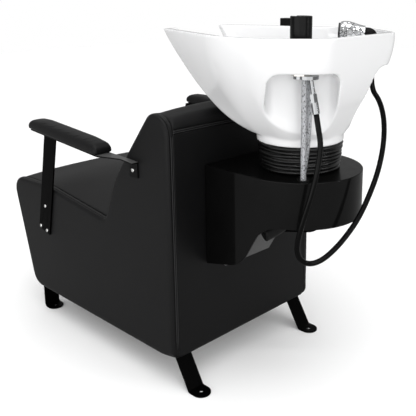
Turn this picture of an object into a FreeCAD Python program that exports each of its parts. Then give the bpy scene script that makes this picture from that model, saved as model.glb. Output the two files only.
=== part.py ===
import FreeCAD, Part
import os
from math import atan2, cos, pi, radians, sin, sqrt, tan

# Salon backwash unit: an upholstered chair with a tilting ceramic basin on a bracket behind it.
# Lengths in millimetres. Z is up, the sitter faces -Y and the sitter's left is +X.
# While modelling, y = 0 is the rear face of the chair; the finished part is centred on its footprint.

os.makedirs("parts", exist_ok=True)
V = FreeCAD.Vector
UP = V(0, 0, 1)
ACROSS = V(1, 0, 0)
REARWARD = V(0, 1, 0)
LEFT, RIGHT = 1, -1
SIDES = {"left": LEFT, "right": RIGHT}

# General clearances: soft pieces, running fits, the overrun of every cut and the shortest straight run
soft_gap = 0.3
running_gap = 0.05
overrun = 5.0
shortest_run = 0.001

# Chair body, side outline from the underside round the seat and the backrest
body_width = 565.0
body_bottom = 92.0
panel_thickness = 24.0
panel_edge_radius = 9.0
base_depth = 715.0
base_front_radius = 48.0
base_rear_radius = 14.0
nose_depth = 815.0
nose_height = 450.0
nose_radius = 45.0
crest_depth = 600.0
crest_height = 456.0
crest_radius = 700.0
crest_run_share = 0.3
heel_depth = 288.0
heel_height = 418.0
heel_radius = 22.0
lumbar_depth = 235.0
lumbar_height = 552.0
lumbar_radius = 300.0
crown_depth = 72.0
crown_height = 757.0
crown_front_radius = 35.0
crown_rear_height = 745.0
crown_rear_radius = 55.0

# Upholstery and the boards behind it
seat_crown = 9.0
back_crown = 8.0
cushion_draw_in = 3.0
cushion_shoulder_share = 0.62
seat_lift_shares = ((0, 0), (-0.25, 0.55), (0, 1), (0, 0.2), (0, 0))
back_lift_shares = ((0, 0), (0, 0), (-0.9, 0.6), (-0.5, 0.8), (0, 0.6), (0, 0), (0, 0), (0, 0), (0, 0))
crown_rear_tuck_share = 0.5
foam_edge_radius = 6.0
foam_inner_radius = 3.0
front_panel_thickness = 25.0
back_panel_thickness = 22.0
back_seam_height = 712.0
seat_board_top = 372.0
board_thickness = 15.0
back_board_depth = 245.0
back_board_top_depth = 42.0
back_board_top = 690.0
dust_cover_thickness = 2.0
rail_height = 40.0
rail_depth = 58.0

# Feet: flat steel straps with a drilled floor pad
strap_width = 52.0
strap_thickness = 5.0
strap_bend_radius = 9.0
foot_inset = 50.5
foot_flange = 66.0
foot_pad_reach = 24.0
floor_hole_radius = 5.5
rear_foot_setback = 24.0
rear_foot_lean = 52.0
front_foot_depth = 703.0
foot_screw_radius = 4.0
foot_screw_head_radius = 7.0
foot_screw_head = 4.0
foot_screw_length = 24.0
foot_screw_spacing = 26.0
foot_screw_setback = 32.0

# Armrests: upright flat bar, strip under the pad, and the pad
bar_width = 62.0
bar_thickness = 5.0
bar_foot_depth = 619.0
bar_foot_height = 303.0
bar_head_depth = 539.0
bar_flange = 44.0
pad_width = 60.0
pad_thickness = 29.0
pad_front_depth = 573.0
pad_front_height = 652.0
pad_rear_depth = 228.0
pad_rear_height = 627.0
pad_edge_radius = 13.0
pad_end_inset = 7.0
pad_station_shares = (0.0, 0.035, 0.18, 0.82, 0.965, 1.0)
pad_swell_shares = (0.62, 0.9, 1.0, 1.0, 0.9, 0.62)
pad_lower_edge_share = 0.33
strip_width = 48.0
strip_thickness = 4.0
strip_inset = 8.0
strip_tail_width = 20.0
strip_neck_depth = 172.0
tab_depth = 137.0
tab_width = 34.0
tab_drop = 40.0
arm_screw_radius = 3.0
arm_screw_head_radius = 5.5
arm_screw_head = 3.6
arm_screw_length = 18.0
arm_screw_rise = 11.0
arm_screw_upper_rise = 90.0
arm_screw_spacing = 36.0

# Basin bracket: plate on the chair back, skirt with an ogee lower edge, top plate
mount_plate_width = 300.0
mount_plate_bottom = 306.0
mount_plate_shoulder = 360.0
mount_plate_toe_width = 180.0
mount_plate_thickness = 5.0
basin_axis = 188.0
bracket_radius = 162.0
bracket_top = 610.0
bracket_plate = 5.0
bracket_rim_radius = 1.7
bracket_wall = 4.0
skirt_heel_height = 337.0
skirt_flat_depth = 130.0
skirt_flat_height = 366.0
skirt_rise_depth = 206.0
skirt_rise_height = 493.0
skirt_ogee_radius = 88.0
skirt_heel_radius = 14.0
bracket_flange = 34.0
bracket_bolt_radius = 5.0
bracket_bolt_head_radius = 9.0
bracket_bolt_head = 6.5
bracket_bolt_length = 24.0
bracket_bolt_low = 390.0
bracket_bolt_high = 570.0
drain_way_radius = 42.0
grommet_x = 98.0
grommet_y = 278.0
grommet_reach = 7.6
grommet_radius = 11.0
grommet_lip = 3.0
grommet_bore = 8.2

# Tilt hinge between the bracket and the basin, inside the bellows
pivot_height = 640.0
ear_thickness = 6.0
ear_width = 44.0
yoke_half_span = 66.0
tilt_base_radius = 88.0
tilt_base_plate = 5.0
washer_thickness = 2.0
washer_radius = 15.0
pin_radius = 6.0
pin_head_radius = 10.0
pin_head = 7.0
bellows_radius = 111.0
bellows_valley = 104.0
bellows_wall = 3.0
bellows_ribs = 5
bellows_rib_shares = (0.08, 0.34, 0.66, 0.92)
bellows_rib_radii = (bellows_valley, bellows_radius, bellows_radius, bellows_valley)
bellows_gap = 0.5

# Ceramic basin: plan sections from the collar up to the rim
collar_radius = 111.0
collar_bottom = 682.0
collar_top = 704.0
rim_height = 951.0
rim_radius = 5.0
section_heights = (collar_top, 736.0, 790.0, 870.0, rim_height)
front_reaches = (-72.0, -26.0, 48.0, 134.0, 194.0)
front_half_widths = (84.0, 122.0, 120.0, 118.0, 126.0)
side_half_widths = (111.0, 140.0, 180.0, 222.0, 235.0)
side_front_depths = (142.0, 136.0, 128.0, 122.0, 120.0)
side_rear_depths = (234.0, 238.0, 242.0, 248.0, 252.0)
rear_half_widths = (46.0, 66.0, 92.0, 132.0, 141.0)
rear_reaches = (299.0, 314.0, 340.0, 364.0, 373.0)
side_plan_radii = (70.0, 100.0, 180.0, 300.0, 380.0)
flank_plan_radii = (70.0, 74.0, 100.0, 120.0, 130.0)
rear_plan_radii = (70.0, 74.0, 70.0, 62.0, 56.0)
front_plan_radii = (70.0, 60.0, 40.0, 20.0, 14.0)
bowl_heights = (716.0, 760.0, 830.0, rim_height)
bowl_front_reaches = (-110.0, -34.0, 58.0, 178.0)
bowl_front_half_widths = (44.0, 84.0, 96.0, 108.0)
bowl_half_widths = (68.0, 122.0, 168.0, 214.0)
bowl_side_front_depths = (160.0, 146.0, 136.0, 122.0)
bowl_side_rear_depths = (214.0, 208.0, 194.0, 180.0)
bowl_rear_half_widths = (30.0, 44.0, 48.0, 50.0)
bowl_rear_reaches = (252.0, 268.0, 278.0, 292.0)
bowl_side_radii = (40.0, 85.0, 90.0, 120.0)
bowl_flank_radii = (40.0, 50.0, 60.0, 60.0)
bowl_rear_radii = (40.0, 60.0, 60.0, 60.0)
bowl_front_radii = (40.0, 40.0, 30.0, 12.0)
notch_half_width = 84.0
notch_depth = 86.0
notch_reach = 160.0
notch_radius = 72.0
deck_x = 120.0
deck_y = 283.0
spray_y = 318.0
deck_height = 928.0
rim_wall = 16.0
deck_hole_radius = 17.0
niche_top = 872.0
niche_half_width = 84.5
niche_shift = 2.5
niche_back = 26.0
niche_radius = 22.0
niche_roof_radius = 28.0
niche_turn = 50.0
foot_ring_outer = 98.0
foot_ring_inner = 66.0
foot_ring_depth = 16.0

# Waste fitting under the bowl
waste_flange_radius = 36.0
waste_flange = 4.0
waste_tail_radius = 22.0
waste_bore = 17.0
waste_tail_bottom = 640.0
strainer_holes = 6
strainer_circle = 11.0
strainer_hole_radius = 4.2
gasket_thickness = 4.0
gasket_radius = 60.0
nut_radius = 34.0
nut_height = 12.0

# Mixer tap on the basin deck and its pipework
tap_base_radius = 27.0
tap_base_height = 12.0
tap_knob_radius = 25.0
tap_top = 997.0
tap_running_gap = 0.6
tap_edge_radius = 2.0
lever_length = 30.0
lever_width = 20.0
lever_height = 17.0
lever_drop = 6.0
lever_pin_radius = 3.0
lever_slot_gap = 1.0
lever_tail = 10.0
lever_sink = 5.0
spindle_radius = 8.0
spindle_length = 9.0
outlet_x = 112.9
outlet_y = 308.8
tap_shank_radius = 16.5
tap_shank_bottom = 856.0
manifold_radius = 24.0
manifold_shift_x = 9.8
manifold_shift_y = 15.4
tap_nut_radius = 22.5
tap_nut_height = 8.0
supply_radius = 7.0
union_radius = 9.5
union_length = 24.0
outlet_radius = 5.0
hose_nut_radius = 9.0
hose_nut_length = 20.0
hose_ferrule_radius = 8.5
hose_ferrule_length = 26.0
hose_ferrule_gap = 0.3
shower_radius = 6.5

# Hand spray in its deck ferrule
holder_flange_radius = 25.0
holder_flange = 6.0
holder_radius = 16.5
holder_bore = 11.0
handle_radius = 10.9
handle_bottom = 866.0
neck_height = 950.0
neck_bend = 14.0
head_reach_x = 43.0
head_reach_y = 68.0
head_lift = 3.5
head_length_shares = (0.0, 0.25, 0.6, 0.88, 1.0)
head_radii = (11.0, 15.0, 21.0, 24.0, 21.5)
face_radius = 19.0
face_thickness = 5.0
tail_nut_radius = 9.5
tail_nut_length = 18.0

# Hose routes, from the upper fitting down; the drain hose runs from the waste to its outlet
supply_routes = {
    "hot": [(122, 297, 855.7), (122, 297, 820), (121, 297, 776), (119, 295, 734), (117, 293, 690),
            (112, 289, 648), (103.2, 282.8, 614), (103, 283, 590), (103, 283, 556), (102, 281.5, 524)],
    "cold": [(104, 297, 855.7), (104, 297, 820), (102, 296, 774), (100, 293, 730), (97, 287, 686),
             (94, 278, 644), (92.4, 273, 614), (91.5, 272, 590), (88, 266, 556), (84, 258, 524)],
}
shower_route = [(117, 328, 779), (118.5, 335, 751.6), (124, 348, 714), (129, 348, 680), (137, 346, 639),
                (145, 340, 594), (153, 329, 548), (160, 320, 506), (163, 313, 466), (153, 315, 433),
                (130, 326, 418), (104, 342, 424), (77, 359, 448), (47, 374, 481), (13, 385, 522),
                (-21, 388, 568), (-54, 387, 613), (-83, 381, 661), (-105, 371, 706), (-116, 360, 746),
                (-121, 343, 783), (-120, 318, 810), (-120, 318, 847.7)]
drain_route = [(0, 188, 639.6), (0, 188, 600), (1, 188, 556), (7, 186, 516), (22, 181, 484), (46, 173, 462),
               (72, 163, 448), (98, 152, 440)]
drain_radius = 20.0
route_share = 0.45


def at(x, y, z):
    return V(x, y, z)


def tangent_wire(points, radii, closed=False):
    """Straight runs joined by tangent arcs of the given radii."""
    count = len(points)
    corners = range(count) if closed else range(1, count - 1)
    enter, leave, edges = {}, {}, []
    for i in corners:
        corner = points[i]
        back = (points[i - 1] - corner).normalize()
        ahead = (points[(i + 1) % count] - corner).normalize()
        half = back.getAngle(ahead) / 2
        run = radii[i] / tan(half)
        middle = (back + ahead).normalize() * (radii[i] / sin(half) - radii[i])
        enter[i], leave[i] = corner + back * run, corner + ahead * run
        edges.append((i, Part.Arc(enter[i], corner + middle, leave[i]).toShape()))
    arcs = dict(edges)
    chain = []
    for i in range(count if closed else count - 1):
        start = leave.get(i, points[i])
        end = enter.get((i + 1) % count, points[(i + 1) % count])
        if i in arcs:
            chain.append(arcs[i])
        if (end - start).Length > shortest_run:
            chain.append(Part.LineSegment(start, end).toShape())
    return Part.Wire(chain)


def prism(wire, way):
    return Part.Face(wire).extrude(way)


def upright_outline(points, x, radii):
    """Closed outline in the side plane at x, from (y, z) points."""
    return tangent_wire([V(x, y, z) for y, z in points], radii, closed=True)


def cylinder(radius, length, base, way=UP):
    return Part.makeCylinder(radius, length, base, way)


def hexagon(across_corners_radius, length, base, way=UP):
    wire = Part.Wire(Part.makePolygon([V(across_corners_radius * cos(i * pi / 3),
                                         across_corners_radius * sin(i * pi / 3), 0) for i in range(7)]))
    solid = prism(wire, UP * length)
    solid.Placement = FreeCAD.Placement(base, FreeCAD.Rotation(UP, way))
    return solid


def box(low, high):
    size = high - low
    return Part.makeBox(size.x, size.y, size.z, low)


def fuse(shapes):
    return shapes[0].multiFuse(shapes[1:]).removeSplitter()


def mirrored(shape):
    return shape.mirror(V(0, 0, 0), ACROSS)


def for_side(shape, side):
    return shape if side == LEFT else mirrored(shape)


def swept(profile, path):
    return path.makePipeShell([profile], True, True)


def route_tube(route, radius, name):
    """Hose along straight runs and arcs as large as the runs allow."""
    points = [V(*p) for p in route]
    radii = [0.0] * len(points)
    for i in range(1, len(points) - 1):
        back, ahead = points[i - 1] - points[i], points[i + 1] - points[i]
        half = back.getAngle(ahead) / 2
        radii[i] = route_share * min(back.Length, ahead.Length) * tan(half)
    path = tangent_wire(points, radii)
    ring = Part.Wire(Part.makeCircle(radius, points[0], points[1] - points[0]))
    tube = swept(ring, path)
    share = tube.Volume / (pi * radius ** 2 * path.Length)
    tight = min(radii[1:-1]) / (2 * radius)
    print(f"{name}: length {path.Length:.0f}, volume share {share:.4f}, tightest {tight:.1f} diameters")
    return tube


def crest_bend():
    """Radius over the seat crest, limited by the shorter run beside it."""
    crest = V(0, -crest_depth, crest_height)
    ahead = V(0, -nose_depth, nose_height) - crest
    behind = V(0, -heel_depth, heel_height) - crest
    room = crest_run_share * min(ahead.Length, behind.Length)
    return min(crest_radius, room * tan(ahead.getAngle(behind) / 2))


def body_outline():
    points = [(-base_depth, body_bottom), (-nose_depth, nose_height), (-crest_depth, crest_height),
              (-heel_depth, heel_height), (-lumbar_depth, lumbar_height), (-crown_depth, crown_height),
              (0, crown_rear_height), (0, body_bottom)]
    radii = [base_front_radius, nose_radius, crest_bend(), heel_radius, lumbar_radius,
             crown_front_radius, crown_rear_radius, base_rear_radius]
    return points, radii


inner_half = body_width / 2 - panel_thickness
front_slope = (nose_depth - base_depth) / (nose_height - body_bottom)


def front_face(height):
    return -base_depth - front_slope * (height - body_bottom)


def side_panel(side):
    points, radii = body_outline()
    wire = upright_outline(points, inner_half, radii)
    panel = prism(wire, ACROSS * panel_thickness)
    outer = [e for e in panel.Edges if min(v.X for v in e.Vertexes) > body_width / 2 - soft_gap]
    return for_side(panel.makeFillet(panel_edge_radius, outer), side)


def crowned(points, radii, lifts, crown):
    """Cushion lofted across the chair: full in the middle, drawn in at both ends."""
    half = inner_half - soft_gap
    stations = [(-half, -cushion_draw_in), (-half * cushion_shoulder_share, crown * cushion_shoulder_share),
                (0, crown), (half * cushion_shoulder_share, crown * cushion_shoulder_share),
                (half, -cushion_draw_in)]
    wires = []
    for x, swell in stations:
        moved = [(y + dy * swell, z + dz * swell) for (y, z), (dy, dz) in zip(points, lifts)]
        wires.append(upright_outline(moved, x, radii))
    return Part.makeLoft(wires, True, False)


def seat_cushion():
    low = seat_board_top + soft_gap
    rear = -heel_depth - soft_gap
    points = [(front_face(low), low), (-nose_depth, nose_height), (-crest_depth, crest_height),
              (rear, heel_height), (rear, low)]
    radii = [foam_edge_radius, nose_radius, crest_bend(), foam_edge_radius, foam_edge_radius]
    return crowned(points, radii, seat_lift_shares, seat_crown)


def backrest_cushion():
    low = seat_board_top + soft_gap
    front = -heel_depth + soft_gap
    rear_low = back_seam_height + soft_gap
    points = [(front, low), (front, heel_height), (-lumbar_depth, lumbar_height),
              (-crown_depth, crown_height), (0, crown_rear_height), (0, rear_low),
              (-back_panel_thickness, rear_low), (-back_board_top_depth - soft_gap, back_board_top),
              (-back_board_depth - soft_gap, low)]
    radii = [foam_edge_radius, heel_radius, lumbar_radius, crown_front_radius,
             crown_rear_radius * crown_rear_tuck_share,
             foam_inner_radius, foam_inner_radius, foam_edge_radius, foam_edge_radius]
    return crowned(points, radii, back_lift_shares, back_crown)


def front_panel():
    top = seat_board_top
    points = [(front_face(body_bottom), body_bottom), (front_face(top), top),
              (front_face(top) + front_panel_thickness, top),
              (front_face(body_bottom) + front_panel_thickness, body_bottom)]
    radii = [foam_edge_radius, foam_edge_radius, foam_inner_radius, foam_inner_radius]
    wire = upright_outline(points, -inner_half, radii)
    return prism(wire, ACROSS * 2 * inner_half)


def back_panel():
    low = at(-inner_half, -back_panel_thickness, body_bottom)
    panel = box(low, at(inner_half, 0, back_seam_height))
    rear = [e for e in panel.Edges if min(v.Y for v in e.Vertexes) > -soft_gap and e.Curve.Direction.x]
    return panel.makeFillet(foam_edge_radius, rear)


def seat_board():
    low = seat_board_top - board_thickness
    front = front_face(low) + front_panel_thickness
    return box(at(-inner_half, front, low), at(inner_half, -back_panel_thickness, seat_board_top))


def back_board():
    rise = back_board_top - seat_board_top
    run = back_board_depth - back_board_top_depth
    across = board_thickness * sqrt(run ** 2 + rise ** 2) / rise
    points = [(-back_board_depth, seat_board_top), (-back_board_top_depth, back_board_top),
              (-back_board_top_depth + across, back_board_top),
              (-back_board_depth + across, seat_board_top)]
    wire = Part.makePolygon([V(-inner_half, y, z) for y, z in points + points[:1]])
    return prism(wire, ACROSS * 2 * inner_half)


def dust_cover():
    front = front_face(body_bottom) + front_panel_thickness
    return box(at(-inner_half, front, body_bottom),
               at(inner_half, -back_panel_thickness, body_bottom + dust_cover_thickness))


def base_rail(rear):
    low = body_bottom + dust_cover_thickness
    return box(at(-inner_half, rear - rail_depth, low), at(inner_half, rear, low + rail_height))


def foot(side, rear):
    """Strap bent under the body, down to the floor and out into a round drilled pad."""
    x = body_width / 2 - foot_inset
    half = strap_thickness / 2
    flange_z = body_bottom - half
    top_y = -rear_foot_setback if rear else -front_foot_depth
    lean = rear_foot_lean if rear else 0
    pad_centre = top_y + lean + strap_bend_radius + foot_pad_reach / 2
    inward = -foot_flange if rear else foot_flange
    path = tangent_wire([at(x, top_y + inward, flange_z), at(x, top_y, flange_z), at(x, top_y + lean, half),
                         at(x, pad_centre + strap_width / 2, half)],
                        [0, strap_bend_radius, strap_bend_radius, 0])
    profile = Part.makePolygon([at(x + sx * strap_width / 2, top_y + inward, flange_z + sz * half)
                                for sx, sz in ((-1, -1), (1, -1), (1, 1), (-1, 1), (-1, -1))])
    strap = swept(profile, path)
    disc = cylinder(strap_width / 2, strap_thickness, at(x, pad_centre, 0))
    tail = box(at(x - strap_width / 2, pad_centre, -overrun),
               at(x + strap_width / 2, pad_centre + strap_width, strap_thickness + overrun))
    hole = cylinder(floor_hole_radius, strap_thickness + 2 * overrun, at(x, pad_centre, -overrun))
    strap = strap.cut(tail.cut(disc)).cut(hole)
    for spot in foot_screw_spots(rear):
        strap = strap.cut(cylinder(foot_screw_radius + running_gap, strap_thickness + 2 * overrun,
                                   at(x, spot, flange_z - half - overrun)))
    return for_side(strap, side)


def foot_screw_spots(rear):
    top_y = -rear_foot_setback if rear else -front_foot_depth
    way = -1 if rear else 1
    middle = top_y + way * foot_screw_setback
    return [middle - foot_screw_spacing / 2, middle + foot_screw_spacing / 2]


def foot_screws():
    screws = []
    low = body_bottom - strap_thickness
    for side in SIDES.values():
        for rear in (True, False):
            for y in foot_screw_spots(rear):
                x = side * (body_width / 2 - foot_inset)
                head = cylinder(foot_screw_head_radius, foot_screw_head, at(x, y, low - foot_screw_head))
                screws.append(fuse([head, cylinder(foot_screw_radius, foot_screw_length, at(x, y, low))]))
    return Part.makeCompound(screws)


side_face = body_width / 2
pad_x = side_face + pad_width / 2
pad_slope = (pad_front_height - pad_rear_height) / (pad_front_depth - pad_rear_depth)


def pad_underside(y):
    return pad_front_height - pad_slope * (y + pad_front_depth)


def sloped_plate(plan, thickness):
    """Plate of the given (x, y) outline whose top lies under the arm pad."""
    points = [V(x, y, pad_underside(y) - thickness) for x, y in plan + plan[:1]]
    return prism(Part.makePolygon(points), UP * thickness)


def arm_bar(side):
    lean = (bar_foot_depth - bar_head_depth) / (pad_underside(-bar_head_depth) - bar_foot_height)
    angle = atan2(lean, 1)
    half = bar_width / 2
    foot_front = (-bar_foot_depth - half * cos(angle), bar_foot_height + half * sin(angle))
    foot_rear = (-bar_foot_depth + half * cos(angle), bar_foot_height - half * sin(angle))

    def head(point):
        z = pad_underside(-bar_head_depth) - strip_thickness
        y = point[0] + lean * (z - point[1])
        return (y, pad_underside(y) - strip_thickness)

    outline = [foot_front, foot_rear, head(foot_rear), head(foot_front)]
    upright = prism(Part.makePolygon([V(side_face, y, z) for y, z in outline + outline[:1]]),
                    ACROSS * bar_thickness)
    front, rear = head(foot_front)[0], head(foot_rear)[0]
    plan = [(side_face, front), (side_face + bar_flange, front),
            (side_face + bar_flange, rear), (side_face, rear)]
    flange = sloped_plate(plan, bar_thickness)
    flange.translate(UP * -strip_thickness)
    bar = fuse([upright, flange])
    for y, z in arm_screw_spots():
        bar = bar.cut(cylinder(arm_screw_radius + running_gap, bar_thickness + 2 * overrun,
                               at(side_face - overrun, y, z), ACROSS))
    return for_side(bar, side)


def arm_screw_spots():
    lean = (bar_foot_depth - bar_head_depth) / (pad_underside(-bar_head_depth) - bar_foot_height)
    angle = atan2(lean, 1)
    along, across = V(0, sin(angle), cos(angle)), V(0, cos(angle), -sin(angle))
    foot_middle = at(0, -bar_foot_depth, bar_foot_height)
    spots = [foot_middle + along * arm_screw_rise + across * (arm_screw_spacing / 2),
             foot_middle + along * arm_screw_rise - across * (arm_screw_spacing / 2),
             foot_middle + along * arm_screw_upper_rise]
    return [(spot.y, spot.z) for spot in spots]


def arm_strip(side):
    """Flat strip under the pad that narrows behind it and turns down into a screwed tab."""
    inner = pad_x - strip_width / 2
    outer = pad_x + strip_width / 2
    tail_end = -tab_depth + tab_width / 2
    plan = [(inner, -pad_front_depth + strip_inset), (outer, -pad_front_depth + strip_inset),
            (outer, -pad_rear_depth), (side_face + strip_tail_width, -strip_neck_depth),
            (side_face + strip_tail_width, tail_end), (side_face, tail_end),
            (side_face, -tab_depth - tab_width / 2), (inner, -pad_rear_depth)]
    plate = sloped_plate(plan, strip_thickness)
    top = pad_underside(tail_end)
    tab = box(at(side_face, -tab_depth - tab_width / 2, top - tab_drop - strip_thickness),
              at(side_face + strip_thickness, tail_end, top - strip_thickness / 2))
    hole = cylinder(arm_screw_radius + running_gap, strip_thickness + 2 * overrun,
                    at(side_face - overrun, -tab_depth, tab_screw_height()), ACROSS)
    return for_side(fuse([plate, tab]).cut(hole), side)


def tab_screw_height():
    return pad_underside(-tab_depth + tab_width / 2) - tab_drop / 2 - strip_thickness


def arm_pad(side):
    """Padded rest lofted along its length, with a full top and drawn-in ends."""
    length = pad_rear_depth - pad_front_depth
    half = pad_width / 2
    sections = []
    for share, swell_share in zip(pad_station_shares, pad_swell_shares):
        y = -pad_front_depth - length * share
        low = pad_underside(y)
        wide = half - pad_end_inset * (1 - swell_share)
        high = low + pad_thickness * swell_share
        edge = pad_edge_radius * swell_share
        lower_edge = edge * pad_lower_edge_share
        points = [V(pad_x - wide, y, low), V(pad_x + wide, y, low),
                  V(pad_x + wide, y, high), V(pad_x - wide, y, high)]
        sections.append(tangent_wire(points, [lower_edge, lower_edge, edge, edge], closed=True))
    return for_side(Part.makeLoft(sections, True, True), side)


def arm_screws():
    screws = []
    for side in SIDES.values():
        spots = [(y, z, bar_thickness) for y, z in arm_screw_spots()]
        spots.append((-tab_depth, tab_screw_height(), strip_thickness))
        for y, z, seat in spots:
            face = side_face + seat
            shank = cylinder(arm_screw_radius, arm_screw_length, at(face - arm_screw_length, y, z), ACROSS)
            head = cylinder(arm_screw_head_radius, arm_screw_head, at(face, y, z), ACROSS)
            rim = [e for e in head.Edges if e.BoundBox.XMin > face + arm_screw_head / 2]
            head = head.makeFillet(arm_screw_head / 2, rim)
            screws.append(for_side(fuse([head, shank]), side))
    return Part.makeCompound(screws)


def bracket_plan(radius, rear, height):
    """U-shaped outline round the basin axis, open ends on the chair back."""
    arc = Part.Arc(at(radius, basin_axis, height), at(0, basin_axis + radius, height),
                   at(-radius, basin_axis, height)).toShape()
    runs = [at(-radius, basin_axis, height), at(-radius, rear, height), at(radius, rear, height),
            at(radius, basin_axis, height)]
    lines = [Part.LineSegment(a, b).toShape() for a, b in zip(runs, runs[1:])]
    return Part.Wire(Part.__sortEdges__([arc] + lines))


def mount_plate():
    half, toe, top = mount_plate_width / 2, mount_plate_toe_width / 2, bracket_top - bracket_plate
    outline = [(-toe, mount_plate_bottom), (toe, mount_plate_bottom), (half, mount_plate_shoulder),
               (half, top), (-half, top), (-half, mount_plate_shoulder)]
    plate = prism(Part.makePolygon([V(x, 0, z) for x, z in outline + outline[:1]]),
                  REARWARD * mount_plate_thickness)
    for x, z in bracket_bolt_spots():
        plate = plate.cut(bolt_way(x, z))
    return plate


def bracket_bolt_spots():
    x = bracket_radius - bracket_wall - bracket_flange / 2
    return [(side * x, z) for side in SIDES.values() for z in (bracket_bolt_low, bracket_bolt_high)]


def bolt_way(x, z):
    return cylinder(bracket_bolt_radius + running_gap, bracket_bolt_length + 2 * overrun,
                    at(x, -overrun, z), REARWARD)


def bracket_skirt():
    """Folded sheet wall with inward bolting flanges and an ogee lower edge."""
    wall_top = bracket_top - bracket_plate
    start = mount_plate_thickness
    height = wall_top - skirt_heel_height
    outer = prism(bracket_plan(bracket_radius, start, skirt_heel_height), UP * height)
    inner = prism(bracket_plan(bracket_radius - bracket_wall, -overrun, skirt_heel_height - overrun),
                  UP * (height + 2 * overrun))
    wall = outer.cut(inner)
    for side in SIDES.values():
        edge = side * (bracket_radius - bracket_wall / 2)
        tip = side * (bracket_radius - bracket_wall - bracket_flange)
        flange = box(at(min(edge, tip), start, skirt_heel_height),
                     at(max(edge, tip), start + bracket_wall, wall_top))
        wall = wall.fuse(flange)
    low = skirt_heel_height - overrun
    far = basin_axis + bracket_radius + overrun
    points = [(-overrun, low), (-overrun, skirt_heel_height), (start, skirt_heel_height),
              (skirt_flat_depth, skirt_flat_height), (skirt_rise_depth, skirt_rise_height),
              (far, skirt_rise_height), (far, low)]
    radii = [running_gap, running_gap, skirt_heel_radius, skirt_ogee_radius, skirt_ogee_radius,
             running_gap, running_gap]
    under = prism(upright_outline(points, -bracket_radius - overrun, radii),
                  ACROSS * 2 * (bracket_radius + overrun))
    wall = wall.cut(under).removeSplitter()
    for x, z in bracket_bolt_spots():
        wall = wall.cut(bolt_way(x, z))
    return wall


def grommet_centres():
    slant = grommet_reach / sqrt(2)
    return [at(grommet_x - slant, grommet_y - slant, 0), at(grommet_x + slant, grommet_y + slant, 0)]


def slot_solid(radius, low, high):
    """Upright slot round both supply hoses."""
    first, second = grommet_centres()
    along = (second - first).normalize()
    aside = V(-along.y, along.x, 0) * radius
    lift = UP * low
    arcs = [Part.Arc(first + lift + aside, first + lift - along * radius, first + lift - aside).toShape(),
            Part.LineSegment(first + lift - aside, second + lift - aside).toShape(),
            Part.Arc(second + lift - aside, second + lift + along * radius,
                     second + lift + aside).toShape(),
            Part.LineSegment(second + lift + aside, first + lift + aside).toShape()]
    return prism(Part.Wire(arcs), UP * (high - low))


def bracket_top_plate():
    low = bracket_top - bracket_plate
    plate = prism(bracket_plan(bracket_radius, mount_plate_thickness, low), UP * bracket_plate)
    rim = [e for e in plate.Edges if e.BoundBox.ZMin > low + bracket_plate / 2 and
           e.BoundBox.YMax > mount_plate_thickness + soft_gap]
    plate = plate.makeFillet(bracket_rim_radius, rim)
    way = cylinder(drain_way_radius, bracket_plate + 2 * overrun, at(0, basin_axis, low - overrun))
    return plate.cut(way).cut(slot_solid(grommet_radius, low - overrun, bracket_top + overrun))


def bracket_bolts():
    bolts = []
    face = mount_plate_thickness + bracket_wall
    for x, z in bracket_bolt_spots():
        head = hexagon(bracket_bolt_head_radius, bracket_bolt_head, at(x, face, z), REARWARD)
        start = at(x, face - bracket_bolt_length, z)
        shank = cylinder(bracket_bolt_radius, bracket_bolt_length, start, REARWARD)
        bolts.append(fuse([head, shank]))
    return Part.makeCompound(bolts)


def supply_grommet():
    low = bracket_top - bracket_plate
    sleeve = slot_solid(grommet_radius, low - grommet_lip, bracket_top)
    lip = slot_solid(grommet_radius + grommet_lip, bracket_top, bracket_top + grommet_lip)
    ring = fuse([sleeve, lip])
    bore_top = bracket_top + grommet_lip + overrun
    return ring.cut(slot_solid(grommet_bore, low - grommet_lip - overrun, bore_top))


def bellows():
    """Ribbed rubber sleeve: ruled rings between valleys and crests, with a parallel bore."""
    low = bracket_top + bellows_gap
    high = collar_bottom - bellows_gap
    pitch = (high - low) / bellows_ribs
    stations = []
    for rib in range(bellows_ribs):
        for share, radius in zip(bellows_rib_shares, bellows_rib_radii):
            stations.append((low + pitch * (rib + share), radius))
    stations = [(low, bellows_valley)] + stations + [(high, bellows_valley)]

    def sleeve(inset):
        rings = [Part.Wire(Part.makeCircle(radius - inset, at(0, basin_axis, z), UP))
                 for z, radius in stations]
        return Part.makeLoft(rings, True, True)

    return sleeve(0).cut(sleeve(bellows_wall))


def ear(x, low, high):
    """Hinge ear of round outline about the pivot, with its bore."""
    middle = at(x, basin_axis, pivot_height)
    eye = cylinder(ear_width / 2, ear_thickness, middle, ACROSS)
    shank = box(at(x, basin_axis - ear_width / 2, low),
                at(x + ear_thickness, basin_axis + ear_width / 2, high))
    bore = cylinder(pin_radius + running_gap, ear_thickness + 2 * overrun,
                    middle - ACROSS * overrun, ACROSS)
    return fuse([eye, shank]).cut(bore)


def tilt_yoke():
    base_top = bracket_top + tilt_base_plate
    base = cylinder(tilt_base_radius, tilt_base_plate, at(0, basin_axis, bracket_top))
    way_low = at(0, basin_axis, bracket_top - overrun)
    base = base.cut(cylinder(drain_way_radius, tilt_base_plate + 2 * overrun, way_low))
    ears = [ear(x, base_top - tilt_base_plate / 2, pivot_height)
            for x in (yoke_half_span, -yoke_half_span - ear_thickness)]
    return fuse([base] + ears)


tilt_plate_top = collar_bottom - gasket_thickness
tilt_plate_low = tilt_plate_top - tilt_base_plate
inner_ear = yoke_half_span - washer_thickness - ear_thickness


def tilt_plate():
    plate = cylinder(tilt_base_radius, tilt_base_plate, at(0, basin_axis, tilt_plate_low))
    plate = plate.cut(waste_way(tilt_plate_low - overrun, tilt_plate_top + overrun))
    ears = [ear(x, pivot_height, tilt_plate_low + tilt_base_plate / 2)
            for x in (inner_ear, -inner_ear - ear_thickness)]
    return fuse([plate] + ears)


def waste_way(low, high):
    return cylinder(waste_tail_radius + soft_gap, high - low, at(0, basin_axis, low))


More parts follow.
